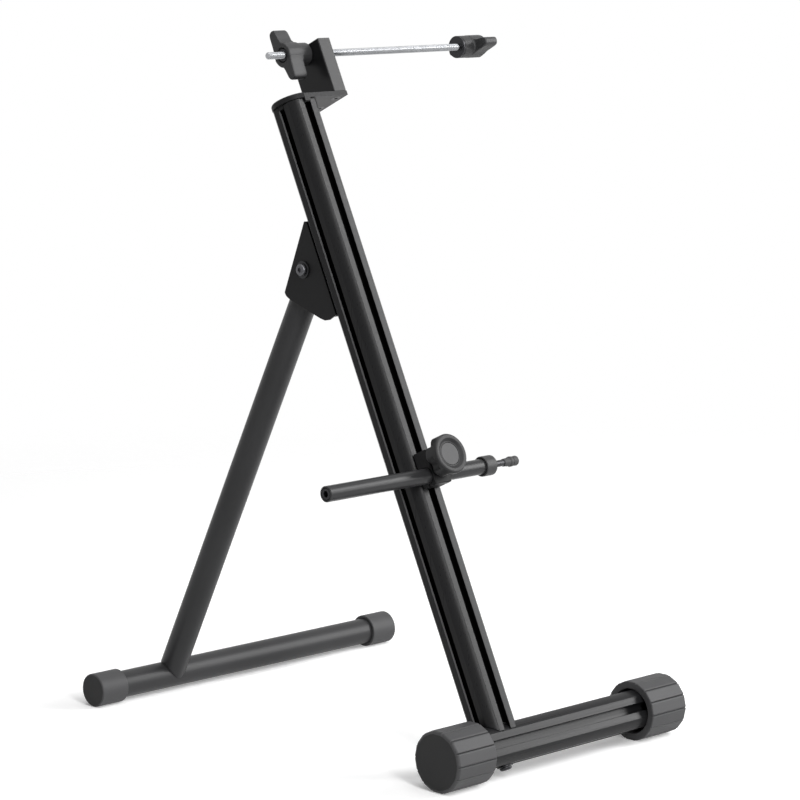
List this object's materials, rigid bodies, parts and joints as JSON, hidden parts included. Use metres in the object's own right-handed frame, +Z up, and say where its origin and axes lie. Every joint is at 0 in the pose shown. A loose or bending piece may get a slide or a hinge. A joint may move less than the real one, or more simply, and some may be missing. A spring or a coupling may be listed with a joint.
{
  "type": "bicycle wheel truing stand",
  "caption": "Folding bench stand: a leaning slotted post holds a wheel by one end of its hub axle beside a sliding gauge rod that reads the rim's side.",
  "frame": {"origin": "middle of the stand's bounding box, on the surface it stands on", "axes": "+X along both feet towards the axle rod's free end, +Y from the front foot to the rear foot, +Z up"},
  "size_m": [0.3148, 0.359, 0.4765],
  "materials": {
    "black_anodised": "satin black anodised extrusion with fine lines along its length",
    "black_powder_coat": "fine-textured semi-matt black powder coat",
    "rubber": "dark grey moulded rubber, matt",
    "black_nylon": "black glass-filled nylon, lightly textured",
    "black_steel": "black oxide steel fasteners",
    "zinc_steel": "bright zinc-plated steel"
  },
  "bodies": {
    "stand": {"axle_rod": "zinc_steel", "bracket_screw_lower": "black_steel", "bracket_screw_upper": "black_steel", "bracket_slot_nut_lower": "zinc_steel", "bracket_slot_nut_upper": "zinc_steel", "dropout_block": "black_powder_coat", "dropout_screw_front": "black_steel", "dropout_screw_rear": "black_steel", "foot_bolt": "black_steel", "foot_bolt_washer": "black_steel", "front_foot_bar": "black_anodised", "front_foot_cap_left": "rubber", "front_foot_cap_right": "rubber", "head_plate": "black_powder_coat", "head_plate_screw": "black_steel", "hinge_bolt": "black_steel", "hinge_bracket": "black_powder_coat", "hinge_nut": "zinc_steel", "hinge_washer_left": "black_steel", "hinge_washer_right": "black_steel", "post_end_cap": "black_nylon", "upright_post": "black_anodised"},
    "rear_leg": {"rear_leg_tube": "black_powder_coat", "rear_leg_plug": "black_nylon", "hinge_bush": "zinc_steel", "rear_foot_tube": "black_powder_coat", "rear_foot_cap_left": "rubber", "rear_foot_cap_right": "rubber"},
    "carriage": {"gauge_clamp_block": "black_anodised", "gauge_slot_nut": "zinc_steel"},
    "knob": {"clamp_knob": "black_nylon", "clamp_stud": "zinc_steel", "knob_disc": "rubber"},
    "gauge": {"gauge_tube": "black_anodised", "gauge_end_plug": "black_steel", "gauge_collar": "black_nylon", "gauge_pin": "black_steel", "gauge_tip": "rubber"},
    "left_nut": {"wing_nut_left": "black_nylon", "wing_nut_left_insert": "black_steel"},
    "stop_washer": {"hub_washer": "black_steel"},
    "right_nut": {"wing_nut_right": "black_nylon", "wing_nut_right_insert": "black_steel"}
  },
  "joints": [
    {"name": "leg_fold", "type": "hinge", "parent": "stand", "child": "rear_leg", "pos_m": [-0.05915, 0.01295, 0.31852], "axis": [-1, 0, 0], "range_deg": [0, 51]},
    {"name": "gauge_height", "type": "slide", "parent": "stand", "child": "carriage", "axis": [0, 0.4274, 0.9041], "range_m": [-0.135, 0.225]},
    {"name": "knob_turn", "type": "hinge", "parent": "carriage", "child": "knob", "pos_m": [-0.05915, -0.1056, 0.20344], "axis": [0, -0.9041, 0.4274], "continuous": true},
    {"name": "gauge_reach", "type": "slide", "parent": "carriage", "child": "gauge", "axis": [1, 0, 0], "range_m": [-0.034, 0.085]},
    {"name": "left_nut_turn", "type": "hinge", "parent": "stand", "child": "left_nut", "pos_m": [-0.05915, 0.05039, 0.4602], "axis": [1, 0, 0], "continuous": true},
    {"name": "stop_washer_slide", "type": "slide", "parent": "stand", "child": "stop_washer", "axis": [1, 0, 0], "range_m": [-0.045, 0.001]},
    {"name": "right_nut_turn", "type": "hinge", "parent": "stop_washer", "child": "right_nut", "pos_m": [0.12785, 0.05039, 0.4602], "axis": [1, 0, 0], "continuous": true}
  ]
}
